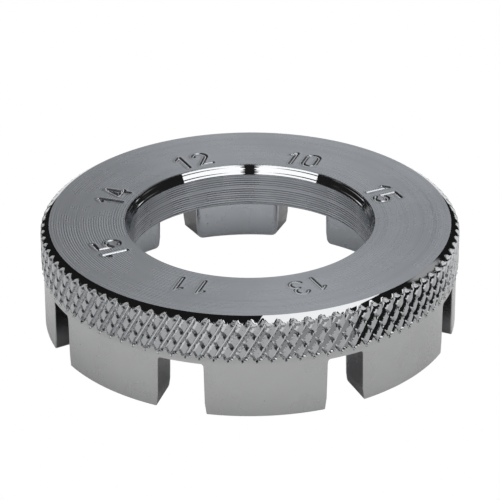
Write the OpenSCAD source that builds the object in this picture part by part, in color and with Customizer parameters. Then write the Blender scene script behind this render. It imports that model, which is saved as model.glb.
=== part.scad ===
// Round spoke wrench: a knurled ring whose underside is slotted into eight jaws.
// Each slot fits the flats of one size of spoke nipple. Millimetres, +Z up, standing on the jaw tips.

/* [Overall] */
// Height from the jaw tips to the top face
height = 10.2; // [9:0.1:14]
// Diameter over the crests of the knurl
grip_d = 40; // [38:0.1:46]

/* [Flange ring] */
// Radial width of the ring, from the bore to the crests of the knurl
ring_w = 8.5; // [7.5:0.1:10]
// Radial width of the polished bevel at the top of the bore
bore_bevel_w = 0.42; // [0.2:0.01:0.8]
// Depth of the polished bevel at the top of the bore
bore_bevel_h = 0.8; // [0.3:0.05:1.4]
// Broken edge at the foot of the bore
bore_foot = 0.35; // [0.1:0.05:0.6]

/* [Knurled grip] */
// Depth of the band from the top face to the lower tips of the knurl
grip_h = 4.75; // [3.6:0.05:5.4]
// Radial width of the bevel between the top face and the knurl
rim_bevel_w = 1; // [0.6:0.01:1.4]
// Share of the first row of flats that this bevel cuts away
rim_cut = 0.85; // [0.3:0.05:0.95]
// Grooves of each hand around the rim
knurl_count = 94; // [60:1:110]
// Half diamonds from the top of the knurl to its lower tips
knurl_rows = 4; // [2:2:6]
// Depth of the knurl's grooves
knurl_depth = 0.26; // [0.2:0.01:0.5]
// Share of each diamond that is left flat on top
knurl_flat = 0.6; // [0.2:0.05:0.75]
// Distance from the top face to where the first grooves would cross
knurl_start = 0.12; // [0.05:0.01:0.2]
// Turn of the knurl about the axis, in degrees
knurl_turn = -0.45; // [-2:0.05:2]

/* [Skirt and jaws] */
// How far the crests stand proud of the plain skirt
crest_rise = 0.2; // [0.05:0.05:0.3]
// Plain land between the lower tips of the knurl and the slots
land_h = 0.2; // [0.1:0.05:0.8]
// Height of the ring that is left between the slots and the flange
roof_h = 0.55; // [0.3:0.05:1]
// Radial thickness of the jaws
jaw_t = 3.7; // [2:0.05:4.5]
// Rounding of the jaws' inner lower edge
jaw_round = 0.55; // [0.3:0.05:1.2]
// Broken edge at the jaws' outer lower edge
jaw_edge = 0.12; // [0.05:0.01:0.3]

/* [Slots] */
// Width of the slot for 10 gauge nipples
slot_10 = 5; // [4.6:0.05:5.6]
// Width of the slot for 11 gauge nipples
slot_11 = 4.4; // [4.2:0.05:4.8]
// Width of the slot for 12 gauge nipples
slot_12 = 4; // [3.8:0.05:4.4]
// Width of the slot for 13 gauge nipples
slot_13 = 3.6; // [3.4:0.05:4]
// Width of the slot for 14 gauge nipples
slot_14 = 3.4; // [3.2:0.05:3.7]
// Width of the slot for 15 gauge nipples
slot_15 = 3.2; // [3:0.05:3.5]
// Width of the second slot marked 15
slot_15_tight = 3.2; // [3:0.05:3.5]
// Width of the slot with no mark
slot_plain = 3.4; // [3:0.05:3.7]
// Lean of each slot wall from the roof to the mouth
slot_lean = 0.1; // [0:0.01:0.3]
// Width of the lead-in at each side of the mouth
lead_in_w = 0.14; // [0.05:0.01:0.3]
// Height of that lead-in
lead_in_h = 1.2; // [0.5:0.05:2]
// Fillet in the upper corners of the slots
slot_fillet = 0.35; // [0.1:0.05:0.6]

/* [Stamped numbers] */
// Height of the figures
figure_h = 2.7; // [1.6:0.05:3.2]
// Width of a figure
figure_w = 1.55; // [0.9:0.05:1.8]
// Width of a stroke
stroke_w = 0.3; // [0.2:0.01:0.4]
// Depth of the stamping
stamp_depth = 0.12; // [0.08:0.01:0.3]
// Distance between the middles of the two figures of a number
figure_pitch = 1.8; // [1.6:0.05:2.4]
// Gap from the bore's bevel to the feet of the figures
figure_gap = 0.6; // [0.3:0.05:1.5]

/* [Hidden] */
$fn = 96;

// Small overlap by which a cut passes the face that it opens
past = 0.5;
// Slots counted round from +X, with the two figures stamped over each; an empty list is a bare place
slot_widths = [slot_plain, slot_15, slot_10, slot_12, slot_14, slot_15_tight, slot_11, slot_13];
slot_marks = [[], [1, 5], [1, 0], [1, 2], [1, 4], [1, 5], [1, 1], [1, 3]];
// The punches were set by hand: how far each number is off clockwise and outward, and its extra spread
mark_shifts = [[0, 0, 0], [0.9, 0, 0], [0.8, 0, 0], [0.55, 0, 0.15],
    [0.35, 0.2, 0], [0.3, 0.5, 0], [0.9, 0.6, 0.35], [1.2, 0.6, 0]];
slot_count = len(slot_widths);
slot_step = 360 / slot_count;

grip_r = grip_d / 2;
flange_r = grip_r - rim_bevel_w;
skirt_r = grip_r - crest_rise;
root_r = grip_r - knurl_depth;
bore_r = grip_r - ring_w;
recess_r = skirt_r - jaw_t;

// Levels, from the top face down to the roofs of the slots
grip_bottom = height - grip_h;
slot_roof = grip_bottom - land_h;
flange_bottom = slot_roof + roof_h;

chrome_satin = [0.62, 0.63, 0.65];
chrome_bright = [0.78, 0.79, 0.80];

// Flange ring

// Turned section of the flange, with a bevel at each end of the bore
module flange_section() {
    polygon([
        [bore_r, flange_bottom + bore_foot],
        [bore_r + bore_foot, flange_bottom],
        [flange_r, flange_bottom],
        [flange_r, height],
        [bore_r + bore_bevel_w, height],
        [bore_r, height - bore_bevel_h]
    ]);
}

// Straight stroke between two points of a figure, square at both ends
module bar(from, to) {
    run = to - from;
    translate(from)
        rotate(atan2(run[1], run[0]))
            translate([-stroke_w / 2, -stroke_w / 2])
                square([norm(run) + stroke_w, stroke_w]);
}

// Round stroke about a middle, from one angle to another, counted anticlockwise and under 360 degrees
module bow(middle, radius, first, last) {
    reach = 2 * radius;
    steps = 4;
    translate(middle)
        intersection() {
            difference() {
                circle(r = radius + stroke_w / 2);
                circle(r = radius - stroke_w / 2);
            }
            polygon(concat([[0, 0]], [for (i = [0 : steps])
                let (a = first + (last - first) * i / steps)
                reach * [cos(a), sin(a)]]));
        }
}

// Figures stand on y = 0 and are centred on x = 0; the limits are the middles of the outer strokes
left = -(figure_w - stroke_w) / 2;
right = -left;
foot = stroke_w / 2;
head = figure_h - stroke_w / 2;
bowl = right;
waist = foot + 2 * bowl;

module figure_0() {
    bow([0, head - bowl], bowl, 0, 180);
    bow([0, foot + bowl], bowl, 180, 360);
    bar([left, foot + bowl], [left, head - bowl]);
    bar([right, foot + bowl], [right, head - bowl]);
}

module figure_1() {
    flag = 0.32 * figure_w;
    bar([0, foot], [0, head]);
    bar([-flag, head - flag], [0, head]);
}

module figure_2() {
    turn = -35;
    bow([0, head - bowl], bowl, turn, 170);
    bar([left, foot], [bowl * cos(turn), head - bowl + bowl * sin(turn)]);
    bar([left, foot], [right, foot]);
}

module figure_3() {
    eye = (head - foot) / 4;
    bow([0, head - eye], eye, -90, 155);
    bow([0, foot + eye], eye, -155, 90);
}

module figure_4() {
    crossbar = foot + 0.3 * (head - foot);
    post = 0.45 * right;
    bar([left, crossbar], [post, head]);
    bar([left, crossbar], [right, crossbar]);
    bar([post, foot], [post, head]);
}

module figure_5() {
    bow([0, foot + bowl], bowl, -150, 140);
    bar([left, waist - 0.5 * bowl], [left, head]);
    bar([left, head], [right, head]);
}

module figure(n) {
    if (n == 0) figure_0();
    if (n == 1) figure_1();
    if (n == 2) figure_2();
    if (n == 3) figure_3();
    if (n == 4) figure_4();
    if (n == 5) figure_5();
}

// Stamping tool for the number over slot i: its feet point to the axis, and it reads clockwise
module stamp(i) {
    feet_r = bore_r + bore_bevel_w + figure_gap;
    marks = slot_marks[i];
    shift = mark_shifts[i];
    spread = figure_pitch + shift[2];
    rotate(i * slot_step - 90)
        translate([shift[0], feet_r + shift[1], height - stamp_depth])
            linear_extrude(stamp_depth + past)
                for (k = [0 : len(marks) - 1])
                    translate([(k - (len(marks) - 1) / 2) * spread, 0])
                        figure(marks[k]);
}

module flange_ring() {
    color(chrome_satin)
        difference() {
            rotate_extrude() flange_section();
            for (i = [0 : slot_count - 1])
                if (len(slot_marks[i]) > 0) stamp(i);
        }
}

// Knurled grip

// The knurl is a lattice of half pitches around and half diamonds down. Grooves cross where column and
// row are both even or both odd, and a flat-topped diamond stands on every other lattice point.
row_h = (grip_h - knurl_start) / knurl_rows;
// Circumscribed, so that the flats of the band's inside touch the flange without cutting into it
seat_r = flange_r / cos(180 / knurl_count);
// Drop of the rim's bevel
rim_bevel_h = rim_cut * (knurl_start + knurl_flat * row_h);

function bevel_z(r) = height - rim_bevel_h * (r - flange_r) / rim_bevel_w;
function row_z(k) = height - knurl_start - k * row_h;
function lattice(u, z, r) =
    let (a = knurl_turn + u * 180 / knurl_count)
    [r * cos(a), r * sin(a), z];
function odd(k) = k % 2;
// The top row ends on the rim's bevel
function end_z(k, r) = k == 0 ? bevel_z(r) : row_z(k);
// The last half diamonds are plain skirt
function flat_r(k) = k == knurl_rows ? skirt_r : grip_r;
function wrap(i) = (i + knurl_count) % knurl_count;

crossing_points = [for (k = [0 : knurl_rows]) for (i = [0 : knurl_count - 1])
    lattice(2 * i + odd(k), end_z(k, root_r), root_r)];
// Four corners to a diamond: left, right, up, down
flat_points = [for (k = [0 : knurl_rows]) for (i = [0 : knurl_count - 1])
    let (u = 2 * i + 1 - odd(k), f = knurl_flat, r = flat_r(k))
    each [lattice(u - f, end_z(k, r), r), lattice(u + f, end_z(k, r), r),
        lattice(u, row_z(k - f), r), lattice(u, row_z(k + f), r)]];
seat_points = [for (z = [height, grip_bottom]) for (i = [0 : knurl_count - 1])
    lattice(2 * i, z, seat_r)];

first_flat = len(crossing_points);
first_seat = first_flat + len(flat_points);

function crossing(k, i) = k * knurl_count + wrap(i);
function flat_corner(k, i, c) = first_flat + 4 * (k * knurl_count + wrap(i)) + c;
function seat(end, i) = first_seat + end * knurl_count + wrap(i);
function quad(a, b, c, d) = [[a, b, c], [a, c, d]];

// Faces of one diamond; the first and last rows hold half diamonds
function diamond(k, i) =
    let (l = flat_corner(k, i, 0), r = flat_corner(k, i, 1))
    let (u = flat_corner(k, i, 2), d = flat_corner(k, i, 3))
    let (gl = crossing(k, i - odd(k)), gr = crossing(k, i + 1 - odd(k)))
    let (gu = crossing(k - 1, i), gd = crossing(k + 1, i))
    let (top = k == 0, last = k == knurl_rows)
    concat(
        top ? [[l, r, d]] : last ? [[l, u, r]] : quad(u, r, d, l),
        top ? [] : concat(quad(u, gu, gr, r), quad(l, gl, gu, u)),
        last ? [] : concat(quad(r, gr, gd, d), quad(d, gd, gl, l))
    );

// Faces that close one pitch of the band: the rim's bevel, the underside and the seat on the flange
function closing(i) =
    let (k = knurl_rows, a = seat(0, i), b = seat(0, i + 1), c = seat(1, i), d = seat(1, i + 1))
    let (tl = flat_corner(0, i, 0), tr = flat_corner(0, i, 1))
    let (bl = flat_corner(k, i, 0), br = flat_corner(k, i, 1))
    concat(
        [[a, b, crossing(0, i + 1)], [a, crossing(0, i + 1), tr], [a, tr, tl], [a, tl, crossing(0, i)]],
        [[c, crossing(k, i), bl], [c, bl, br], [c, br, crossing(k, i + 1)], [c, crossing(k, i + 1), d]],
        quad(c, d, b, a)
    );

module knurled_grip() {
    color(chrome_bright)
        polyhedron(
            points = concat(crossing_points, flat_points, seat_points),
            faces = concat(
                [for (k = [0 : knurl_rows]) for (i = [0 : knurl_count - 1]) each diamond(k, i)],
                [for (i = [0 : knurl_count - 1]) each closing(i)]
            ),
            convexity = 4
        );
}

// Skirt ring

module skirt_ring() {
    color(chrome_satin)
        rotate_extrude()
            polygon([
                [recess_r, slot_roof],
                [skirt_r, slot_roof],
                [skirt_r, grip_bottom],
                [flange_r, grip_bottom],
                [flange_r, flange_bottom],
                [recess_r, flange_bottom]
            ]);
}

// Jaws

// Section of a jaw through the axis
module jaw_section() {
    difference() {
        translate([recess_r, 0]) square([jaw_t, slot_roof]);
        difference() {
            translate([recess_r - past, -past]) square(jaw_round + past);
            translate([recess_r + jaw_round, jaw_round]) circle(r = jaw_round);
        }
        translate([skirt_r, 0]) rotate(45) square(jaw_edge * sqrt(2), center = true);
    }
}

// Outline of a slot seen along its radius: a lead-in at the mouth, leaning walls, filleted upper corners.
// It passes the roof at a slant, and the skirt ring closes the slot there.
module slot_outline(w) {
    fillet_z = slot_roof - 0.9 * slot_fillet;
    fillet_x = w / 2 - slot_fillet;
    mouth_x = w / 2 + slot_lean + lead_in_w;
    lead_x = w / 2 + slot_lean * (1 - lead_in_h / fillet_z);
    half = concat(
        [[mouth_x, -past], [mouth_x, 0], [lead_x, lead_in_h]],
        [for (a = [0 : 15 : 75]) [fillet_x + slot_fillet * cos(a), fillet_z + slot_fillet * sin(a)]],
        [[fillet_x + slot_fillet * cos(75), slot_roof + past]]
    );
    polygon(concat(half, [for (i = [len(half) - 1 : -1 : 0]) [-half[i][0], half[i][1]]]));
}

// Milling cut of slot i, from inside the recess out past the skirt
module slot_cut(i) {
    inner = recess_r - jaw_t;
    rotate(i * slot_step)
        translate([inner, 0, 0])
            rotate([90, 0, 90])
                linear_extrude(skirt_r + past - inner) slot_outline(slot_widths[i]);
}

// Jaw n stands between slots n - 1 and n
module jaw(n) {
    color(chrome_satin)
        difference() {
            rotate((n - 1) * slot_step) rotate_extrude(angle = slot_step) jaw_section();
            slot_cut(n - 1);
            slot_cut(n % slot_count);
        }
}

flange_ring();
knurled_grip();
skirt_ring();
for (n = [1 : slot_count])
    jaw(n);
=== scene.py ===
# %% [markdown]
# # A round spoke wrench
#
# The real wrench is one ring of steel. It is bored and faced on a lathe, rolled with a diamond knurl,
# milled into eight slotted jaws, stamped with gauge numbers, and plated. The CAD model holds these
# regions as separate solids. This lesson replaces each solid with a finer surface in the same place,
# gives it a plated finish, and sets up the light and the camera of a product photograph.

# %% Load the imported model
from math import cos, pi, radians, sin, tan

import bpy
import numpy as np
from mathutils import Matrix, Vector


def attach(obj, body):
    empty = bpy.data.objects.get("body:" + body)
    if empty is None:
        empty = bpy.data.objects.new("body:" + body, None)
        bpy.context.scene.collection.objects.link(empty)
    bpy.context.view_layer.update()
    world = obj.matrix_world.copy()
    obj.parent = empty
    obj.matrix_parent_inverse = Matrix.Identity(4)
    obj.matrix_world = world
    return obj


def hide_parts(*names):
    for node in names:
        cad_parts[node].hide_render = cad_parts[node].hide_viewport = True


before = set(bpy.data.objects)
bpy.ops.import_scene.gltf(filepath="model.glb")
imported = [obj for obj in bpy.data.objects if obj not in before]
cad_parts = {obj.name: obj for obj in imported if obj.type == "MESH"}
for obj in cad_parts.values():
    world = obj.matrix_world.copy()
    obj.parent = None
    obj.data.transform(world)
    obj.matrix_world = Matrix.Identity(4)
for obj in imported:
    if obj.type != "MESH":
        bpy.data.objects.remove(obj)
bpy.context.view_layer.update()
print("CAD nodes:", sorted(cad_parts))

# %% [markdown]
# ## The sizes
#
# The surfaces below follow the CAD model, so its sizes are repeated here in millimetres. Only the face
# is carried 0.2 mm further out, which makes the rim's shoulder as narrow as in the photograph. Levels
# are measured up from the jaw tips that the wrench stands on.

# %% Sizes in millimetres
height = 10.2
grip_r = 20.0
flange_r = 19.2
skirt_r = 19.8
bore_r = 11.5
bore_edge_r = 11.92
recess_r = 16.1
grip_bottom = 5.45
slot_roof = 5.25
flange_bottom = 5.8
print(f"{2 * grip_r:.1f} mm across, {height:.1f} mm high, bore {2 * bore_r:.1f} mm")

# %% [markdown]
# ## The camera
#
# A long lens from a short way off flattens the circles into ellipses, as product photographs do. The
# camera was fitted to those ellipses: it stands 27.6 degrees above the floor, and looks between the
# slots marked 11 and 13. The focal length is given in pixels of a square picture of 500 pixels, and
# Blender's lens is that share of its sensor.

# %% Camera
scene = bpy.context.scene
scene.view_settings.view_transform = "Standard"

view_azimuth = radians(18.85)
view_elevation = radians(27.58)
view_roll = radians(-0.19)
view_distance = 0.2985
aim = Vector((0, 0, 0.00684))
focal_px, picture_px = 3110, 500

toward_camera = Vector((
    sin(view_azimuth) * cos(view_elevation),
    -cos(view_azimuth) * cos(view_elevation),
    sin(view_elevation),
))
camera = bpy.data.objects.new("camera", bpy.data.cameras.new("camera"))
scene.collection.objects.link(camera)
camera.data.sensor_width = 36
camera.data.lens = camera.data.sensor_width * focal_px / picture_px
camera.data.clip_start, camera.data.clip_end = 0.01, 20
look = (-toward_camera).to_track_quat("-Z", "Y").to_matrix().to_4x4()
place = Matrix.Translation(aim + toward_camera * view_distance)
camera.matrix_world = place @ look @ Matrix.Rotation(view_roll, 4, "Z")
scene.camera = camera
print(f"lens {camera.data.lens:.1f} mm, camera {view_distance * 1000:.0f} mm away")

# %% [markdown]
# ## From arrays to pieces
#
# Every surface here is a grid of points: one direction runs along a section, the other around the
# axis. A grid that closes on itself in both directions is watertight, like a bent tube. The helpers
# turn polar arrays into points, count the quads of a grid, and make the mesh in one go.

# %% Helpers for surfaces
def polar(radius, angle, level):
    """Points in metres: x = r cos a, y = r sin a, z = level, from millimetres and radians."""
    r, a, z = np.broadcast_arrays(radius, angle, level)
    return 0.001 * np.stack([r * np.cos(a), r * np.sin(a), z], axis=-1)


def grid_quads(rows, columns, close_rows=True, close_columns=True):
    """Quads of a grid whose points are numbered row by row; a closed direction wraps round.
    With rows running up a wall and columns anticlockwise, the quads face away from the axis."""
    i = np.arange(rows if close_rows else rows - 1)[:, None]
    j = np.arange(columns if close_columns else columns - 1)[None, :]
    low, high = i * columns, (i + 1) % rows * columns
    after = (j + 1) % columns
    return np.stack([low + j, low + after, high + after, high + j], axis=-1).reshape(-1, 4)


def ease(x):
    """Smooth step from 0 to 1: 3 x^2 - 2 x^3, held at its ends."""
    x = np.clip(x, 0, 1)
    return x * x * (3 - 2 * x)


def make_piece(name, points, faces, node, slot, sharp=42, **marks):
    """A mesh object that stands for a CAD node, smooth up to a sharp angle. Marks are values per point."""
    mesh = bpy.data.meshes.new(name)
    mesh.from_pydata(points.reshape(-1, 3).tolist(), [], faces)
    mesh.polygons.foreach_set("use_smooth", np.ones(len(mesh.polygons), bool))
    mesh.set_sharp_from_angle(angle=radians(sharp))
    for mark, values in marks.items():
        layer = mesh.attributes.new(mark, "FLOAT", "POINT")
        layer.data.foreach_set("value", np.ascontiguousarray(values, np.float32).ravel())
    piece = bpy.data.objects.new(name, mesh)
    scene.collection.objects.link(piece)
    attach(piece, "root")
    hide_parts(node)
    triangles = sum(len(face) - 2 for face in faces)
    print(f"{name}: {len(mesh.vertices)} points, {triangles} triangles")
    return piece


# %% [markdown]
# ## Stamped numbers
#
# A steel punch struck each gauge number into the face, and pushed up a low burr around every stroke.
# A curve or text object could be cut out with a boolean, but the cut would have sharp, even walls.
# Here every figure is a handful of straight and round strokes, and each point of the face asks how far
# the nearest stroke is. That distance gives the sunk floor, the sloping wall and the burr in one go. The
# punch was held by hand, so the numbers stand a little off their slots and some were struck lightly.

# %% Distance to the strokes of a figure
figure_h, figure_w, figure_pitch = 2.7, 1.55, 1.8
stroke_w, stamp_depth = 0.3, 0.11
feet_r = bore_edge_r + 0.6

right = (figure_w - stroke_w) / 2
left = -right
foot, head = stroke_w / 2, figure_h - stroke_w / 2
bowl = right


def bar(x, y, x0, y0, x1, y1):
    """Distance to a straight stroke: the point's foot on the line, held between the two ends."""
    run_x, run_y = x1 - x0, y1 - y0
    t = ((x - x0) * run_x + (y - y0) * run_y) / (run_x**2 + run_y**2)
    t = np.clip(t, 0, 1)
    return np.hypot(x - x0 - t * run_x, y - y0 - t * run_y)


def bow(x, y, mid_x, mid_y, radius, first, last):
    """Distance to a round stroke: off its radius between the two angles, else to the nearer end."""
    px, py = x - mid_x, y - mid_y
    middle, half = radians(first + last) / 2, radians(last - first) / 2
    turn = np.angle(np.exp(1j * (np.arctan2(py, px) - middle)))
    ends = [np.hypot(px - radius * cos(a), py - radius * sin(a)) for a in (middle - half, middle + half)]
    inside = np.abs(turn) <= half
    return np.where(inside, np.abs(np.hypot(px, py) - radius), np.minimum(*ends))


def figure_distance(n, x, y):
    """Distance to the nearest stroke of the figure n, which stands on y = 0 and is centred on x = 0."""
    if n == 0:
        strokes = [
            bow(x, y, 0, head - bowl, bowl, 0, 180), bow(x, y, 0, foot + bowl, bowl, 180, 360),
            bar(x, y, left, foot + bowl, left, head - bowl),
            bar(x, y, right, foot + bowl, right, head - bowl),
        ]
    elif n == 1:
        flag = 0.32 * figure_w
        strokes = [bar(x, y, 0, foot, 0, head), bar(x, y, -flag, head - flag, 0, head)]
    elif n == 2:
        knee_x, knee_y = bowl * cos(radians(-35)), head - bowl + bowl * sin(radians(-35))
        strokes = [
            bow(x, y, 0, head - bowl, bowl, -35, 170), bar(x, y, left, foot, knee_x, knee_y),
            bar(x, y, left, foot, right, foot),
        ]
    elif n == 3:
        eye = (head - foot) / 4
        strokes = [bow(x, y, 0, head - eye, eye, -90, 155), bow(x, y, 0, foot + eye, eye, -155, 90)]
    elif n == 4:
        crossbar, post = foot + 0.3 * (head - foot), 0.45 * right
        strokes = [
            bar(x, y, left, crossbar, post, head), bar(x, y, left, crossbar, right, crossbar),
            bar(x, y, post, foot, post, head),
        ]
    else:
        strokes = [
            bow(x, y, 0, foot + bowl, bowl, -150, 140), bar(x, y, left, foot + 1.5 * bowl, left, head),
            bar(x, y, left, head, right, head),
        ]
    return np.minimum.reduce(strokes)


# %% [markdown]
# ## Flange ring
#
# The flange is the flat ring with the numbers, a narrow polished bevel at the top of the bore, the
# bored wall with its tool marks, and a flat underside. A lathe makes all of it but the numbers, so the
# surface is a closed section carried around the axis. The grid is fine only where figures stand.

# %% Columns and rows of the flange
slot_marks = [(), (1, 5), (1, 0), (1, 2), (1, 4), (1, 5), (1, 1), (1, 3)]
slot_step = 2 * pi / len(slot_marks)
# How far each number was struck off its slot, clockwise and outward, and how much wider it was set
mark_shifts = [(0, 0, 0), (0.9, 0, 0), (0.8, 0, 0), (0.55, 0, 0.15),
               (0.35, 0.2, 0), (0.3, 0.5, 0), (0.9, 0.6, 0.35), (1.2, 0.6, 0)]
# How hard each was struck
strikes = (1, 0.9, 0.6, 0.65, 1, 1, 0.35, 0.35)
number_half = radians(10.2)
number_columns, bare_columns, gap_columns = 74, 9, 13

middles = [i * slot_step - shift[0] / (feet_r + figure_h / 2) for i, shift in enumerate(mark_shifts)]
columns = []
for i, marks in enumerate(slot_marks):
    after = middles[i + 1] if i + 1 < len(middles) else middles[0] + 2 * pi
    begin, close = middles[i] - number_half, middles[i] + number_half
    columns.append(np.linspace(begin, close, number_columns if marks else bare_columns))
    columns.append(np.linspace(close, after - number_half, gap_columns)[1:-1])
flange_angles = np.concatenate(columns)

figures_end = feet_r + max(shift[1] for shift in mark_shifts) + figure_h
figure_rows = np.linspace(figures_end + 0.3, feet_r - 0.3, 62)
face_radii = np.concatenate([np.linspace(flange_r, figures_end + 0.45, 8), figure_rows])
print(len(flange_angles), "columns,", len(face_radii), "rows over the face")

# %% Section of the flange
def round_corner(before, corner, after, reach, steps=4):
    """A corner eased by a parabola that leaves each side at the given reach from the corner."""
    before, corner, after = map(np.array, (before, corner, after))
    start = corner + reach * (before - corner) / np.linalg.norm(before - corner)
    end = corner + reach * (after - corner) / np.linalg.norm(after - corner)
    s = np.linspace(0, 1, steps + 1)[:, None]
    return (1 - s) ** 2 * start + 2 * s * (1 - s) * corner + s**2 * end


bevel_h, bore_foot = 0.92, 0.35
wall_r = bore_r - 0.05
face_edge = np.array((bore_edge_r + 0.04, height))
bevel_foot = np.array((wall_r, height - bevel_h))
wall_foot = (wall_r, flange_bottom + bore_foot)
web_edge = (bore_r + bore_foot, flange_bottom)
web_outside = (flange_r, flange_bottom)

s = np.linspace(0, 1, 31)[1:, None]
bevel = face_edge + s * (bevel_foot - face_edge)
bevel[:, :1] += 0.005 * np.sin(2 * pi * s) * np.sin(2 * pi * 3.3 * s)
wall_z = np.linspace(bevel_foot[1] - 0.08, wall_foot[1] + 0.06, 33)
feed_marks = 0.003 * (np.cos(wall_z * 2 * pi / 0.43) + np.cos(wall_z * 2 * pi / 0.71 + 1))
bore_wall = np.stack([bore_r - 0.044 + feed_marks, wall_z], axis=-1)
flange_section = np.concatenate([
    np.stack([face_radii, np.full_like(face_radii, height)], axis=-1),
    [(feet_r - 0.42, height), (bore_edge_r + 0.12, height)],
    [face_edge], bevel,
    bore_wall,
    round_corner(bevel_foot, wall_foot, web_edge, 0.05, 2),
    round_corner(wall_foot, web_edge, web_outside, 0.05, 2),
    [(bore_r + bore_foot + 0.12, flange_bottom), (15.0, flange_bottom), web_outside],
])
print(len(flange_section), "points along the flange's section")

# %% Stamp the face and make the flange
burr_h, burr_w, wall_w = 0.02, 0.1, 0.16
far_off = 9.0
r_grid, a_grid = flange_section[:, :1], flange_angles[None, :]
nearest = np.full((len(flange_section), len(flange_angles)), far_off)
force = np.ones_like(a_grid)
on_face = slice(0, len(face_radii))
for i, (marks, (clockwise, outward, spread)) in enumerate(zip(slot_marks, mark_shifts)):
    turn = np.angle(np.exp(1j * (a_grid - i * slot_step)))
    force = np.where(np.abs(turn) < slot_step / 2, strikes[i], force)
    y = r_grid[on_face] * np.cos(turn) - feet_r - outward
    x = -r_grid[on_face] * np.sin(turn) - clockwise
    for k, n in enumerate(marks):
        offset = (k - (len(marks) - 1) / 2) * (figure_pitch + spread)
        distance = np.where(np.cos(turn) > 0, figure_distance(n, x - offset, y), far_off)
        nearest[on_face] = np.minimum(nearest[on_face], distance)

sunk = ease((stroke_w / 2 + 0.05 - nearest) / wall_w)
burr = np.exp(-(((nearest - stroke_w / 2 - 0.12) / burr_w) ** 2))
flange_z = flange_section[:, 1:] + force * (burr_h * burr * (1 - sunk) - stamp_depth * sunk)
section_r = np.broadcast_to(r_grid, flange_z.shape)
row_z = np.broadcast_to(flange_section[:, 1:], flange_z.shape)
polish = (row_z < height - 0.01) & (row_z > bevel_foot[1] - 0.03) & (section_r < bore_edge_r)
bored = (section_r < bore_r + 0.1) & (row_z < bevel_foot[1] - 0.03)
flange = make_piece(
    "flange_ring_skin", polar(section_r, a_grid, flange_z),
    grid_quads(*flange_z.shape).tolist(), "flange_ring", "turned_chrome",
    stamped=sunk * force, polished=polish, bored=bored,
)

# %% [markdown]
# ## Knurled grip
#
# Two sets of rolled grooves, one of each hand, leave flat-topped diamonds. Counting half pitches
# around and half diamonds down, a groove runs wherever their sum or their difference is even. The
# rising grooves are deep, with a flat floor, a steep flank and a long one. The falling grooves are
# shallower, deepen towards the next rising groove and end there in a small pit. The deepest cut at each
# point gives the height of the surface, so the whole band is one formula. At the lower end the grooves
# run out into the plain skirt. At the upper end the rim's shoulder cuts across the diamonds and leaves
# rounded caps. Each cell is split along its groove, which keeps the edges of the diamonds straight.
# Separate diamonds set on a cylinder would take far more triangles and leave seams at every groove.

# %% Shape of the knurl
knurl_count, knurl_rows, knurl_turn = 94, 4, radians(-0.45)
knurl_start, knurl_end = -0.11, 4.2
diamond_half_h = (height - grip_bottom - knurl_start) / knurl_end
# Across a groove, in pitches: where its flanks start and end, and how deep it is there
rising_across, rising_depths = (-0.2, -0.15, -0.05, 0.35), (0, 0.36, 0.36, 0)
falling_across, falling_depths = (-0.15, -0.05, 0, 0.15), (0, 1, 1, 0)
# Depth of the falling grooves along their way from one rising groove to the next
deepening, falling_depth = (0.3, 0.8), (0.13, 0.24)
# Where the grooves fade in at the top and run out at the bottom, in half diamonds
groove_start, groove_fade, groove_end, groove_run_out = 0.35, 0.3, 3.62, 0.34
cap_depth, cap_half_w, cap_h = 0.46, 0.34, 1.5
lip_h, lip_w = 0.04, 0.05
skirt_swell, swell_h = 0.17, 0.8
# The shoulder's ends and the point that bends it
shoulder_edge, shoulder_foot = np.array((flange_r, height)), np.array((grip_r, height - 0.6))
shoulder_pull = np.array((19.65, height - 0.24))


def off_line(along):
    """Signed distance to the nearest groove of one hand, counted in pitches across the grooves."""
    return along - np.round(along)


def knurl_depths(around, down):
    """Depth of the rising grooves, of the falling ones, which deepen towards the next rising groove, and
    of the hollows in the half diamonds at the top, which leave rounded caps on the shoulder."""
    rising, falling = off_line((around + down) / 2), off_line((around - down) / 2)
    run = ease((down - groove_start) / groove_fade)
    run = run * (1 - np.clip((down - groove_end) / groove_run_out, 0, 1))
    deeper = np.interp(rising % 1, deepening, falling_depth)
    cap = np.clip(1 - np.abs(off_line((around + 1) / 2) / cap_half_w) ** 2.5, 0, 1)
    return (np.interp(rising, rising_across, rising_depths) * run,
            np.interp(falling, falling_across, falling_depths) * deeper * run,
            cap_depth * cap * np.clip(1 - (down - 0.1) / cap_h, 0, 1))


def in_pit(around, down):
    """Whether a point lies in one of the small pits where a falling groove comes down to a rising one.
    A pit is a triangle under the falling groove, with one upright side and a level foot."""
    rising, falling = off_line((around + down) / 2) % 1 - 1, off_line((around - down) / 2)
    left, above = rising + falling, rising - falling
    return (falling < -0.04) & (falling > -0.16) & (left > -0.62) & (above < -0.15) & (above > -0.4)


def shoulder(t):
    """The rim's shoulder, a slightly bulging cone, with t from 0 at the edge of the face to 1 at the full
    radius: a parabola between the two ends, pulled towards a point just outside the straight line."""
    points = (1 - t) ** 2 * shoulder_edge + 2 * t * (1 - t) * shoulder_pull + t**2 * shoulder_foot
    return points[..., :1], points[..., 1:]


shoulder_r, shoulder_z = shoulder(np.linspace(0, 1, 60)[:, None])


def on_skirt(around, down):
    """Whether a point lies below the lowest tips or in the half diamonds between them, the plain skirt."""
    return (np.abs(around % 2 - 1) + np.abs(knurl_rows - down) < 1) | (down > knurl_rows)


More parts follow.
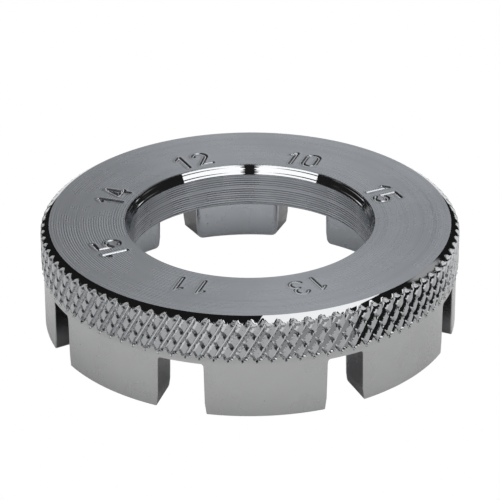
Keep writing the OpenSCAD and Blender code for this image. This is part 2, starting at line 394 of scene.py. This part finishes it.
def knurl_radius(around, down):
    """The knurled cylinder less its deepest cut, cut off by the shoulder. A lip stands where the two meet,
    exp(-(gap / w)^2), and the plain skirt swells between the lowest tips."""
    level = height - knurl_start - down * diamond_half_h
    cone = np.interp(-level, -shoulder_z[:, 0], shoulder_r[:, 0])
    ground = grip_r - np.maximum.reduce(knurl_depths(around, down))
    plain = skirt_r + skirt_swell * ease((knurl_end - down) / swell_h)
    ground = np.where(on_skirt(around, down), np.minimum(ground, plain), ground)
    lip = lip_h * np.exp(-(((cone - ground) / lip_w) ** 2)) * (down < 0.6)
    return np.minimum(ground, cone) + lip


# %% Make the knurled grip
cells = 10
around = np.arange(knurl_count * 2 * cells) / cells
knurl_angles = knurl_turn + around * pi / knurl_count

rows_down = np.concatenate([np.arange(42, 6, -1), np.arange(6, 1.9, -0.5)]) / cells
band_down = rows_down[:, None] + 0 * around
band_r = knurl_radius(around, band_down)
band_z = height - knurl_start - band_down * diamond_half_h

first_t = np.interp(height - band_z[-1, 0], height - shoulder_z[:, 0], np.linspace(0, 1, 60))
rim_r, rim_z = (values + 0 * around for values in shoulder(np.linspace(first_t, 0, 5)[1:, None]))
seat_r = np.array([flange_r, flange_r])[:, None] + 0 * around
seat_z = np.array([(height + grip_bottom) / 2, grip_bottom])[:, None] + 0 * around

grip_rs = np.concatenate([band_r, rim_r, seat_r])
grip_zs = np.concatenate([band_z, rim_z, seat_z])
quads = grid_quads(*grip_rs.shape).reshape(len(grip_rs), len(around), 4)
band_quads = quads[: len(band_r) - 1].reshape(-1, 4)
rest_quads = quads[len(band_r) - 1 :].reshape(-1, 4)
rising, falling, _ = knurl_depths(around + 0.5 / cells, 0.5 * (band_down[1:] + band_down[:-1]))
split = (rising > falling).reshape(-1, 1)
first = np.where(split, band_quads[:, [0, 1, 3]], band_quads[:, [0, 1, 2]])
second = np.where(split, band_quads[:, [1, 2, 3]], band_quads[:, [0, 2, 3]])

line, plain, rim, pit = (np.zeros_like(grip_rs) for _ in range(4))
on_band = slice(0, len(band_r))
rising, falling, _ = knurl_depths(around, band_down)
# Painted highlight mask: the rising grooves, which are painted lighter than the flats
line[on_band] = (rising > 0.03) & (rising > falling)
plain[on_band] = on_skirt(around, band_down) & (band_r > skirt_r - 0.01)
plain[on_band] *= np.maximum(rising, falling) < 0.1
beside = off_line((around - band_down) / 2)
# Painted shade mask: somewhat dark along the lower side of the falling grooves, fully dark in the pits
pit[on_band] = 0.35 * (beside < -0.04) * (beside > -0.11) * (falling > rising) * (band_down > 0.6)
deep = in_pit(around, band_down) & (band_down > 0.4) & (band_down < 3.6)
pit[on_band] = np.maximum(pit[on_band], deep)
rim[on_band] = band_r > np.interp(-band_z, -shoulder_z[:, 0], shoulder_r[:, 0]) - 0.01
rim[on_band] *= band_down < 0.5
rim[len(band_r) :] = 1
grip = make_piece(
    "knurled_grip_skin", polar(grip_rs, knurl_angles, grip_zs),
    [*first.tolist(), *second.tolist(), *rest_quads.tolist()], "knurled_grip", "knurled_chrome",
    sharp=24, line=line, plain=plain, polished=rim, pit=pit,
)

# %% [markdown]
# ## Skirt ring
#
# Under the knurl the turned skirt runs on into the jaws, with no line between them. Only its lower
# edge over the slots shows as an edge of its own, so the section stays sharp and the ring is flush.

# %% Make the skirt ring
skirt_section = np.array([
    (skirt_r, slot_roof), (skirt_r, grip_bottom), (flange_r, grip_bottom), (flange_r, flange_bottom),
    (recess_r, flange_bottom), (recess_r, slot_roof),
])
skirt_angles = np.linspace(0, 2 * pi, 720, endpoint=False)
skirt_points = polar(skirt_section[:, :1], skirt_angles[None], skirt_section[:, 1:])
skirt = make_piece(
    "skirt_ring_skin", skirt_points, grid_quads(*skirt_points.shape[:2]).tolist(),
    "skirt_ring", "satin_chrome",
)

# %% [markdown]
# ## Jaws
#
# A milling cutter passed across the ring at each gauge, so the sides of a jaw are flat walls that lean
# a little apart and open at the mouth. Each jaw is its section through the axis, carried from one slot
# wall to the next, with a small rounding where the wall breaks the surface. Two caps close the ends.

# %% Shape of the slots and of a jaw's section
slot_widths = [3.4, 3.2, 5.0, 4.0, 3.4, 3.2, 4.4, 3.6]
slot_lean, lead_in_w, lead_in_h, slot_fillet = 0.1, 0.14, 1.2, 0.35
jaw_round, jaw_edge = 0.55, 0.12
inner_edge, outer_edge, edge_fade = 0.45, 0.08, 0.7
fillet_z = slot_roof - 0.9 * slot_fillet


def half_slot(width, level):
    """Half the slot's width: a lead-in at the mouth, a leaning wall, then the fillet of the roof."""
    wall = width / 2 + slot_lean * (1 - level / fillet_z)
    lead_x = width / 2 + slot_lean * (1 - lead_in_h / fillet_z)
    mouth_x = width / 2 + slot_lean + lead_in_w
    lead = lead_x + (mouth_x - lead_x) * (1 - level / lead_in_h)
    rise = np.clip(level - fillet_z, 0, slot_fillet)
    corner = width / 2 - slot_fillet + np.sqrt(slot_fillet**2 - rise**2)
    return np.where(level < lead_in_h, lead, np.where(level < fillet_z, wall, corner))


arc = np.linspace(0, pi / 2, 10)
edge_arc = np.linspace(0, pi / 2, 5)
upper = np.array([0.8, 1.0, 1.15, 1.2, 1.3, 1.8, 2.6, 3.4, 4.2, 4.7, 4.9])
upper = np.concatenate([upper, fillet_z + slot_fillet * np.sin(np.linspace(0, np.arcsin(0.9), 7))])

outer_r = np.concatenate([skirt_r - jaw_edge * (1 - np.sin(edge_arc)), np.full(5 + len(upper), skirt_r)])
outer_z = np.concatenate([jaw_edge * (1 - np.cos(edge_arc)), [0.2, 0.3, 0.4, 0.5, 0.6], upper])
outer_n = np.concatenate([edge_arc, np.full(5 + len(upper), pi / 2)])
inner_r = np.concatenate([recess_r + jaw_round * (1 - np.sin(arc)), np.full(len(upper), recess_r)])
inner_z = np.concatenate([jaw_round * (1 - np.cos(arc)), upper])
inner_n = np.concatenate([arc, np.full(len(upper), pi / 2)])
across = np.array([0, 0.03, 0.25, 0.5, 0.75, 0.97, 1])
print(len(outer_r), "levels on each side of a jaw's section")


def chord(start, end, share):
    """Values between the inner and the outer side of the section."""
    return start + share * (end - start)


# %% Make the jaws
middle_strip = across[1:-1]
flat = np.zeros(len(middle_strip))
loop_r = np.concatenate([
    outer_r, chord(recess_r, skirt_r, middle_strip[::-1]), inner_r[::-1],
    chord(inner_r[0], outer_r[0], middle_strip),
])
loop_z = np.concatenate([outer_z, flat + slot_roof, inner_z[::-1], flat])
normal_r = np.concatenate([np.sin(outer_n), flat, -np.sin(inner_n)[::-1], flat])
normal_z = np.concatenate([-np.cos(outer_n), flat, -np.cos(inner_n)[::-1], flat - 1])
loop_edge = np.concatenate([
    np.full(len(outer_r), outer_edge), flat, np.full(len(inner_r), inner_edge),
    chord(inner_edge, outer_edge, middle_strip),
])
easing = loop_edge * ease((slot_roof - loop_z) / edge_fade)


def jaw_end(turned, slot_angle, width, side):
    """One column at a jaw's end. The edge turns from the surface (0) to the slot's wall (a right angle):
    it sinks by e (1 - cos) into the surface and stands e (1 - sin) off the wall."""
    sink, gap = easing * (1 - cos(turned)), easing * (1 - sin(turned))
    r, z = loop_r - normal_r * sink, loop_z - normal_z * sink
    return r, slot_angle + side * np.arcsin((half_slot(width, z) + gap) / r), z


def jaw_cap(slot_angle, width, side):
    """The flat wall of a slot, as a grid from the bottom up and from the inside out."""
    sides = (inner_edge, inner_z), (outer_edge, outer_z)
    sink = [edge * ease((slot_roof - z) / edge_fade) for edge, z in sides]
    side_r = inner_r + np.sin(inner_n) * sink[0], outer_r - np.sin(outer_n) * sink[1]
    side_z = inner_z + np.cos(inner_n) * sink[0], outer_z + np.cos(outer_n) * sink[1]
    r = chord(side_r[0][:, None], side_r[1][:, None], across)
    z = chord(side_z[0][:, None], side_z[1][:, None], across)
    return r, slot_angle + side * np.arcsin(half_slot(width, z) / r), z


def weld(points, faces, marks):
    """Joins the points that coincide to a ten-thousandth of a millimetre. A quad that loses one corner
    becomes a triangle, and one that loses two is dropped."""
    keys = np.round(points * 1e7).astype(np.int64)
    _, kept, index = np.unique(keys, axis=0, return_index=True, return_inverse=True)
    faces = index.reshape(-1)[faces]
    own = faces != np.roll(faces, 1, axis=1)
    folded = (faces[:, 0] == faces[:, 2]) | (faces[:, 1] == faces[:, 3])
    whole, cut = (own.sum(axis=1) == 4) & ~folded, (own.sum(axis=1) == 3) & ~folded
    triangles = faces[cut][own[cut]].reshape(-1, 3)
    return points[kept], [*faces[whole].tolist(), *triangles.tolist()], marks[kept]


turns = np.linspace(pi / 2, 0, 5)
shares = np.concatenate([[0.006], np.linspace(0.05, 0.95, 19), [0.994]])
jaws = []
for n, width in enumerate(slot_widths):
    angle, next_angle = n * slot_step, (n + 1) * slot_step
    next_width = slot_widths[(n + 1) % len(slot_widths)]
    begin = [jaw_end(t, angle, width, 1) for t in turns]
    close = [jaw_end(t, next_angle, next_width, -1) for t in turns[::-1]]
    between = [(loop_r, chord(begin[-1][1], close[0][1], t), loop_z) for t in shares]
    tube = np.stack([polar(*column) for column in [*begin, *between, *close]], axis=1)
    caps = [polar(*jaw_cap(angle, width, 1)), polar(*jaw_cap(next_angle, next_width, -1))]
    cap_quads = grid_quads(*caps[0].shape[:2], False, False)
    first_cap = tube.shape[0] * tube.shape[1]
    second_cap = first_cap + caps[0].shape[0] * caps[0].shape[1]
    faces = np.concatenate([
        grid_quads(*tube.shape[:2], True, False),
        first_cap + cap_quads, second_cap + cap_quads[:, ::-1],
    ])
    points = np.concatenate([tube.reshape(-1, 3), *(cap.reshape(-1, 3) for cap in caps)])
    walls = (np.arange(len(points)) >= first_cap).astype(float)
    points, faces, walls = weld(points, faces, walls)
    inside = np.hypot(points[:, 0], points[:, 1]) < 0.001 * (recess_r + 0.8)
    jaws.append(make_piece(
        f"jaw_{n + 1}_skin", points, faces, f"jaw_{n + 1}", "satin_chrome",
        milled=walls, inside=inside,
    ))

# %% [markdown]
# ## Building blocks of the finish
#
# Plated steel is a metal shader whose look comes from what it mirrors, so the finishes differ in how
# rough they are and in their tool marks. Two effects serve several finishes, so each is a node group
# with its own sockets: turning marks, which are rings about the axis, and handling marks, which are
# faint cloudy patches where fingers and polishing cloths have been.

# %% Helpers for nodes
def add_node(tree, kind, inputs=None, **options):
    """Adds a node, sets its options, and fills its inputs with plain values or links."""
    made = tree.nodes.new(kind)
    for key, value in options.items():
        setattr(made, key, value)
    for key, value in (inputs or {}).items():
        if isinstance(value, bpy.types.NodeSocket):
            tree.links.new(value, made.inputs[key])
        else:
            made.inputs[key].default_value = value
    return made


def sums(tree, operation, *values, clamp=False):
    """Output of a Math node."""
    inputs = dict(enumerate(values))
    return add_node(tree, "ShaderNodeMath", inputs, operation=operation, use_clamp=clamp).outputs[0]


def blend_colors(tree, share, first, second):
    """Colour between two colours."""
    made = add_node(tree, "ShaderNodeMix", {0: share, 6: first, 7: second}, data_type="RGBA")
    return made.outputs[2]


def new_group(name, inputs, outputs):
    """A shader node group with named sockets, and its input and output nodes."""
    group = bpy.data.node_groups.new(name, "ShaderNodeTree")
    for label, kind, start in inputs:
        socket = group.interface.new_socket(label, in_out="INPUT", socket_type=kind)
        if start is not None:
            socket.default_value = start
    for label, kind in outputs:
        group.interface.new_socket(label, in_out="OUTPUT", socket_type=kind)
    return group, group.nodes.new("NodeGroupInput"), group.nodes.new("NodeGroupOutput")


# %% Turning marks
turning, start, end = new_group(
    "turning_marks",
    [("Vector", "NodeSocketVector", None), ("Marks per mm", "NodeSocketFloat", 3.0)],
    [("Height", "NodeSocketFloat"), ("Bands", "NodeSocketFloat")],
)
in_mm = add_node(turning, "ShaderNodeVectorMath", {0: start.outputs["Vector"], 1: (1000, 1000, 1000)},
                 operation="MULTIPLY")
flattened = add_node(turning, "ShaderNodeVectorMath", {0: in_mm.outputs[0], 1: (1, 1, 0)},
                     operation="MULTIPLY")
radius_mm = add_node(turning, "ShaderNodeVectorMath", {0: flattened.outputs[0]}, operation="LENGTH")
level_mm = add_node(turning, "ShaderNodeSeparateXYZ", {0: in_mm.outputs[0]})
path_mm = sums(turning, "ADD", radius_mm.outputs["Value"], level_mm.outputs[2])
marks = sums(turning, "MULTIPLY", path_mm, start.outputs["Marks per mm"])
fine = add_node(turning, "ShaderNodeTexNoise", {"W": marks, "Scale": 1.0, "Detail": 2.0, "Roughness": 0.6},
                noise_dimensions="1D")
broad = add_node(turning, "ShaderNodeTexNoise", {"W": marks, "Scale": 0.22, "Detail": 2.0},
                 noise_dimensions="1D")
wave = sums(turning, "SINE", sums(turning, "MULTIPLY", marks, 2 * pi))
uneven = sums(turning, "MULTIPLY_ADD", wave, 0.3, fine.outputs[0])
turning.links.new(uneven, end.inputs["Height"])
turning.links.new(broad.outputs[0], end.inputs["Bands"])
print("group:", turning.name)

# %% Handling marks
handling, start, end = new_group(
    "handling_marks",
    [("Vector", "NodeSocketVector", None), ("Patch mm", "NodeSocketFloat", 4.0),
     ("Grain mm", "NodeSocketFloat", 0.11)],
    [("Patches", "NodeSocketFloat"), ("Grain", "NodeSocketFloat")],
)
per_metre = sums(handling, "DIVIDE", 1000.0, start.outputs["Patch mm"])
cloud = add_node(handling, "ShaderNodeTexNoise", {
    "Vector": start.outputs["Vector"], "Scale": per_metre, "Detail": 4.0, "Roughness": 0.55,
})
clear = add_node(handling, "ShaderNodeMapRange", {0: cloud.outputs[0], 1: 0.3, 2: 0.72},
                 interpolation_type="SMOOTHSTEP")
grains_per_metre = sums(handling, "DIVIDE", 1000.0, start.outputs["Grain mm"])
grain = add_node(handling, "ShaderNodeTexNoise", {
    "Vector": start.outputs["Vector"], "Scale": grains_per_metre, "Detail": 2.0, "Roughness": 0.5,
})
handling.links.new(clear.outputs[0], end.inputs["Patches"])
handling.links.new(grain.outputs[0], end.inputs["Grain"])
print("group:", handling.name)


def place_group(tree, group, inputs):
    """Outputs of a group placed in a material with its own values."""
    return add_node(tree, "ShaderNodeGroup", inputs, node_tree=group).outputs


def new_metal(name):
    """A material with a metal shader; returns it with its tree, shader and object coordinates."""
    material = bpy.data.materials.new(name)
    material.use_nodes = True
    tree = material.node_tree
    tree.nodes.clear()
    shader = add_node(tree, "ShaderNodeBsdfPrincipled", {"Metallic": 1.0})
    result = add_node(tree, "ShaderNodeOutputMaterial")
    tree.links.new(shader.outputs[0], result.inputs[0])
    coordinates = add_node(tree, "ShaderNodeTexCoord").outputs["Object"]
    return material, tree, shader, coordinates


def mark_of(tree, name):
    """A value stored on the points of the piece."""
    return add_node(tree, "ShaderNodeAttribute", attribute_name=name).outputs["Fac"]


# %% [markdown]
# ## Turned, knurled and satin plating
#
# The face is satin: the plating follows the fine rings that the lathe left, and its shine is stretched
# across them. The stamped strokes are painted much lighter, a painted highlight, and the tool marks of
# the bore are painted dark in thin lines, a painted shade. The bevels are polished and mirror the studio.
# The knurl is bright, with a pebbled grain on its flats and smooth rising grooves. Its rising grooves are
# painted lighter, a painted highlight, and its pits are painted dark, a painted shade. The jaws are satin
# with a fine grain; their milled walls are painted dark as painted shade, and their inner faces are
# painted lighter as painted light.

# %% Turned plating of the flange
satin_tone = (0.41, 0.43, 0.46, 1)
band_tone = (0.36, 0.38, 0.41, 1)
bright_tone = (0.64, 0.65, 0.66, 1)
bored_tone = (0.45, 0.47, 0.5, 1)
# Painted highlight for the sunk strokes of the numbers
stamp_highlight_tone = (0.86, 0.88, 0.91, 1)
# Painted shade for the tool marks of the bore and for the milled walls of the slots
painted_shade_tone = (0.10, 0.10, 0.105, 1)

turned, tree, shader, where = new_metal("turned_plating")
shader.inputs["Anisotropic"].default_value = 0.75
shader.inputs["Anisotropic Rotation"].default_value = 0.25
rings = place_group(tree, turning, {"Vector": where, "Marks per mm": 4.2})
touch = place_group(tree, handling, {"Vector": where, "Patch mm": 5.0})
polished, stamped, bored = (mark_of(tree, name) for name in ("polished", "stamped", "bored"))
face_tone = blend_colors(tree, rings["Bands"], satin_tone, band_tone)
face_tone = blend_colors(tree, bored, face_tone, bored_tone)
score = add_node(tree, "ShaderNodeMapRange", {0: rings["Height"], 1: 0.55, 2: 0.8},
                 interpolation_type="SMOOTHSTEP").outputs[0]
# Painted shade: thin dark lines painted along the tool marks of the bored wall
shaded_marks = sums(tree, "MULTIPLY", sums(tree, "MULTIPLY", score, bored), 0.6)
face_tone = blend_colors(tree, shaded_marks, face_tone, painted_shade_tone)
# Painted highlight: the sunk strokes of the numbers are painted much lighter than the face
face_tone = blend_colors(tree, stamped, face_tone, stamp_highlight_tone)
tree.links.new(blend_colors(tree, polished, face_tone, bright_tone), shader.inputs["Base Color"])
satin_rough = sums(tree, "MULTIPLY_ADD", touch["Patches"], 0.03, 0.26)
shine = sums(tree, "MULTIPLY_ADD", stamped, 0.06, sums(tree, "MULTIPLY", polished, 0.23))
tree.links.new(sums(tree, "SUBTRACT", satin_rough, shine), shader.inputs["Roughness"])
plain = sums(tree, "SUBTRACT", 1.0, sums(tree, "MAXIMUM", polished, stamped))
ripple = sums(tree, "MULTIPLY", rings["Height"], sums(tree, "MULTIPLY_ADD", bored, 2.5, plain))
bump = add_node(tree, "ShaderNodeBump", {"Height": ripple, "Strength": 0.3, "Distance": 0.00003})
tree.links.new(bump.outputs[0], shader.inputs["Normal"])
flange.data.materials.append(turned)

# %% Knurled plating of the grip
jaw_tone = (0.37, 0.372, 0.375, 1)
worn_tone = (0.33, 0.332, 0.335, 1)
flat_tone = (0.34, 0.346, 0.355, 1)
# Painted highlight for the rising grooves, also the tone of the polished shoulder
polish_and_highlight_tone = (0.52, 0.53, 0.54, 1)
# Painted shade for the pits
pit_shade_tone = (0.015, 0.015, 0.017, 1)

knurled, tree, shader, where = new_metal("knurled_plating")
touch = place_group(tree, handling, {"Vector": where, "Patch mm": 4.0, "Grain mm": 0.22})
knurl_marks = ("line", "plain", "polished", "pit")
line_mark, plain_mark, polished, pit_mark = (mark_of(tree, name) for name in knurl_marks)
# Painted highlight: the rising grooves are painted lighter; the polished shoulder takes the same tone
knurl_tone = blend_colors(tree, sums(tree, "MAXIMUM", line_mark, polished), flat_tone, polish_and_highlight_tone)
# Painted shade: the pits and the lower side of the falling grooves are painted dark
knurl_tone = blend_colors(tree, pit_mark, knurl_tone, pit_shade_tone)
skirt_tone = blend_colors(tree, sums(tree, "MULTIPLY", touch["Patches"], 0.4), jaw_tone, worn_tone)
tree.links.new(blend_colors(tree, plain_mark, knurl_tone, skirt_tone), shader.inputs["Base Color"])
rough = sums(tree, "MULTIPLY_ADD", touch["Patches"], 0.02, 0.06)
rough = sums(tree, "MULTIPLY_ADD", plain_mark, 0.18, rough)
rough = sums(tree, "SUBTRACT", rough, sums(tree, "MULTIPLY", polished, 0.04))
tree.links.new(rough, shader.inputs["Roughness"])
smooth_line = sums(tree, "MULTIPLY", line_mark, 0.93)
smooth = sums(tree, "MAXIMUM", smooth_line, sums(tree, "MAXIMUM", plain_mark, polished))
pebbles = sums(tree, "SUBTRACT", touch["Grain"], 0.5)
pebbles = sums(tree, "MULTIPLY", pebbles, sums(tree, "SUBTRACT", 1.0, smooth))
bump = add_node(tree, "ShaderNodeBump", {"Height": pebbles, "Strength": 1.0, "Distance": 0.00008})
tree.links.new(bump.outputs[0], shader.inputs["Normal"])
grip.data.materials.append(knurled)

# %% Satin plating of the skirt and jaws
# Painted light for the inner faces of the jaws
inside_light_tone = (0.5, 0.52, 0.55, 1)

satin, tree, shader, where = new_metal("satin_plating")
touch = place_group(tree, handling, {"Vector": where, "Patch mm": 4.0})
milled, inside = mark_of(tree, "milled"), mark_of(tree, "inside")
skirt_tone = blend_colors(tree, sums(tree, "MULTIPLY", touch["Patches"], 0.4), jaw_tone, worn_tone)
# Painted light: the inner faces of the jaws are painted lighter than their outsides
skirt_tone = blend_colors(tree, inside, skirt_tone, inside_light_tone)
# Painted shade: the milled walls of the slots are painted dark
tree.links.new(blend_colors(tree, sums(tree, "MULTIPLY", milled, 0.9), skirt_tone, painted_shade_tone),
               shader.inputs["Base Color"])
tree.links.new(sums(tree, "MULTIPLY_ADD", touch["Patches"], 0.06, 0.24), shader.inputs["Roughness"])
bump = add_node(tree, "ShaderNodeBump", {"Height": touch["Grain"], "Strength": 0.12, "Distance": 0.00003})
tree.links.new(bump.outputs[0], shader.inputs["Normal"])
for piece in (skirt, *jaws):
    piece.data.materials.append(satin)
print("materials:", [m.name for m in (turned, knurled, satin)])

# %% [markdown]
# ## Floor, surround and lights
#
# Polished metal shows its surround, so the surround is part of the picture. Photographers put white
# panels where an edge should flash and leave dark gaps where it should go black. The floor is white
# paper, clear from below so that the underside can be looked at. The world is white to the camera. The
# metal sees a dark room with a bright strip behind, a low grey wall at the left and a few grey cards.

# %% Floor
reach, floor_glow = 3.0, 0.05
floor_mesh = bpy.data.meshes.new("floor")
corners = [(-reach, -reach, 0), (reach, -reach, 0), (reach, reach, 0), (-reach, reach, 0)]
floor_mesh.from_pydata(corners, [], [(0, 1, 2, 3)])
floor = bpy.data.objects.new("floor", floor_mesh)
floor.location.z = -0.00002
scene.collection.objects.link(floor)
paper = bpy.data.materials.new("white_paper")
paper.use_nodes = True
tree = paper.node_tree
tree.nodes.clear()
sheet = add_node(tree, "ShaderNodeBsdfDiffuse", {"Color": (0.9, 0.9, 0.9, 1)})
glow = add_node(tree, "ShaderNodeEmission", {"Color": (1, 1, 1, 1), "Strength": 1.0})
path = add_node(tree, "ShaderNodeLightPath").outputs
mirrored = sums(tree, "ADD", path["Is Glossy Ray"], path["Is Transmission Ray"])
mirrored = sums(tree, "MULTIPLY", mirrored, floor_glow)
lift = sums(tree, "ADD", path["Is Camera Ray"], mirrored, clamp=True)
mixed = add_node(tree, "ShaderNodeMixShader", {0: lift, 1: sheet.outputs[0], 2: glow.outputs[0]})
below = add_node(tree, "ShaderNodeNewGeometry").outputs["Backfacing"]
clear = add_node(tree, "ShaderNodeBsdfTransparent")
sheet_or_clear = add_node(tree, "ShaderNodeMixShader", {0: below, 1: mixed.outputs[0], 2: clear.outputs[0]})
add_node(tree, "ShaderNodeOutputMaterial", {"Surface": sheet_or_clear.outputs[0]})
floor_mesh.materials.append(paper)

# %% World
def direction(side, elevation):
    """Unit vector at an angle to the right of the camera's side, and above the floor, in degrees."""
    a, e = view_azimuth + radians(side), radians(elevation)
    return Vector((sin(a) * cos(e), -cos(a) * cos(e), sin(e)))


world = bpy.data.worlds.new("studio")
scene.world = world
world.use_nodes = True
tree = world.node_tree
tree.nodes.clear()
outward = add_node(tree, "ShaderNodeTexCoord").outputs["Generated"]
sky = add_node(tree, "ShaderNodeSeparateXYZ", {0: outward}).outputs["Z"]


def toward(side, elevation=0):
    """Cosine of the angle between a ray and a direction."""
    return add_node(tree, "ShaderNodeVectorMath", {0: outward, 1: direction(side, elevation)},
                    operation="DOT_PRODUCT").outputs["Value"]


def fade(value, none, full, strength=1.0):
    """Smooth rise from nothing at one value to full strength at the other."""
    return add_node(tree, "ShaderNodeMapRange", {0: value, 1: none, 2: full, 3: 0.0, 4: strength},
                    interpolation_type="SMOOTHSTEP").outputs[0]


def spot(side, elevation, none, full, strength=1.0):
    """A round card seen in a direction, which fades between two angles off its middle, in degrees."""
    return fade(toward(side, elevation), cos(radians(none)), cos(radians(full)), strength)


def off_side(side):
    """How far a ray points off a side, as the sine of the angle."""
    return sums(tree, "ABSOLUTE", toward(side))


surround, daylight = 0.015, 0.8
back_wall = sums(tree, "MULTIPLY", fade(off_side(87), 0.19, 0.05), fade(toward(177), 0.2, 0.35))
back_wall = sums(tree, "MULTIPLY", back_wall, fade(sky, 0.8, 0.6, 0.85))
wall_top = direction(-110, 4).cross(direction(-40, 13)).normalized()
under_top = add_node(tree, "ShaderNodeVectorMath", {0: outward, 1: wall_top},
                     operation="DOT_PRODUCT").outputs["Value"]
low_wall = sums(tree, "MULTIPLY", spot(-64, 0, 57, 53), fade(under_top, 0.04, 0.0, 0.38))
print("top of the low wall:", [round(x, 3) for x in wall_top])
right_card = sums(tree, "MULTIPLY", spot(86, 5, 30, 12, 0.2), fade(sky, 0.18, 0.1))
far_card = spot(130, 36, 10, 5, 0.5)
left_card = spot(-95, 34, 14, 8, 0.6)
level = surround
for card in (back_wall, low_wall, right_card, far_card, left_card):
    level = sums(tree, "ADD", level, card)
path = add_node(tree, "ShaderNodeLightPath").outputs
shown = sums(tree, "ADD", path["Is Glossy Ray"], path["Is Transmission Ray"], clamp=True)
room = add_node(tree, "ShaderNodeMix", {0: shown, 2: daylight, 3: level}).outputs[0]
white = add_node(tree, "ShaderNodeMix", {0: path["Is Camera Ray"], 2: room, 3: 1.0}).outputs[0]
background = add_node(tree, "ShaderNodeBackground", {"Color": (1, 1, 1, 1), "Strength": white})
add_node(tree, "ShaderNodeOutputWorld", {"Surface": background.outputs[0]})

# %% Lights
def panel(name, side, elevation, width, tall, level, away=1.0):
    """A softbox that faces the wrench. Its size is given as angles, and its level as the brightness
    that a mirror would show: power = level x pi x area."""
    lamp = bpy.data.lights.new(name, "AREA")
    lamp.shape = "RECTANGLE"
    lamp.size, lamp.size_y = (2 * away * tan(radians(angle / 2)) for angle in (width, tall))
    lamp.energy = level * pi * lamp.size * lamp.size_y
    holder = bpy.data.objects.new(name, lamp)
    scene.collection.objects.link(holder)
    outward = direction(side, elevation)
    facing = outward.to_track_quat("Z", "Y").to_matrix().to_4x4()
    holder.matrix_world = Matrix.Translation(outward * away) @ facing
    return holder


panel("front_left_panel", -38, 33, 53, 18, 1.5)
panel("front_right_panel", 38, 33, 53, 18, 1.5)
overhead = panel("overhead_panel", 0, 90, 30, 57, 1.6)
overhead_place = direction(90, 0) * 0.32 + direction(0, 0) * 0.08 + Vector((0, 0, 1))
overhead.matrix_world = Matrix.Translation(overhead_place) @ Matrix.Rotation(view_azimuth, 4, "Z")
